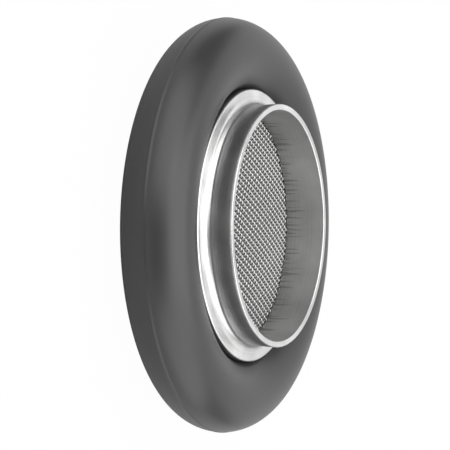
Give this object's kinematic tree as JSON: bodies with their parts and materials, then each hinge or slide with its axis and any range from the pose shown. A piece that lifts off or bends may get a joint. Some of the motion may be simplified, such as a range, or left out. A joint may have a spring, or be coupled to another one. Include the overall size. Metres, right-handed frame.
{
  "type": "vacuum centering ring with mesh screen",
  "caption": "Vacuum flange centering ring: a turned steel ring that carries a rubber sealing ring round its shoulder and a woven wire screen across its bore.",
  "frame": {"origin": "centre of the ring, on its axis in the mid-plane of the shoulder", "axes": "+Z along the ring's axis, towards the spigot that the mesh screen is nearer to"},
  "size_m": [0.0292, 0.0292, 0.0082],
  "materials": {
    "turned_steel": "turned stainless steel, fine marks round the axis",
    "seal_rubber": "satin moulded black rubber",
    "wire_mesh": "bright drawn stainless wire, plain weave"
  },
  "bodies": {
    "root": {"centering_ring": "turned_steel", "o_ring": "seal_rubber", "mesh_screen": "wire_mesh"}
  },
  "joints": []
}
